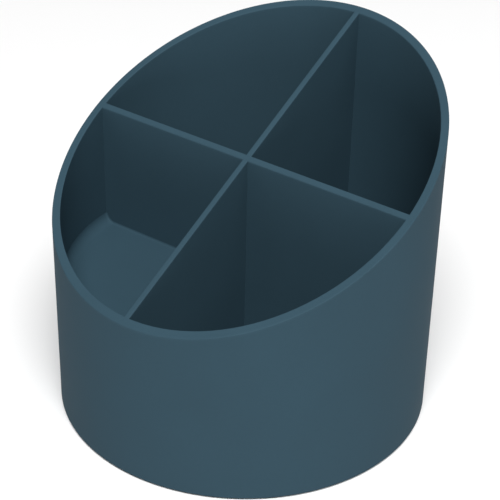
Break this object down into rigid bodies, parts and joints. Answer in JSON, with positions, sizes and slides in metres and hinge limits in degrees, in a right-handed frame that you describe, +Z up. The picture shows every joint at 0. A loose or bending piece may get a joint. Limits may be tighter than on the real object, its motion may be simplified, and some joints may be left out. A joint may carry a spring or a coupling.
{
  "type": "desk organizer",
  "caption": "Round desktop pen cup with a slanted rim, crossed dividers that part it into compartments, and a raised floor on its low left side for clips.",
  "frame": {"origin": "centre of the base, on the desk under the foot pads", "axes": "+Z up, +Y towards the high side of the rim, +X to the right along the level divider as seen from the low side"},
  "size_m": [0.1006, 0.1006, 0.0959],
  "materials": {
    "moulded_plastic": "matte",
    "pad_rubber": "matte"
  },
  "bodies": {
    "root": {"cup": "moulded_plastic", "cross_divider": "moulded_plastic", "slope_divider": "moulded_plastic", "raised_tray": "moulded_plastic", "foot_pad_1": "pad_rubber", "foot_pad_2": "pad_rubber", "foot_pad_3": "pad_rubber", "foot_pad_4": "pad_rubber"}
  },
  "joints": []
}
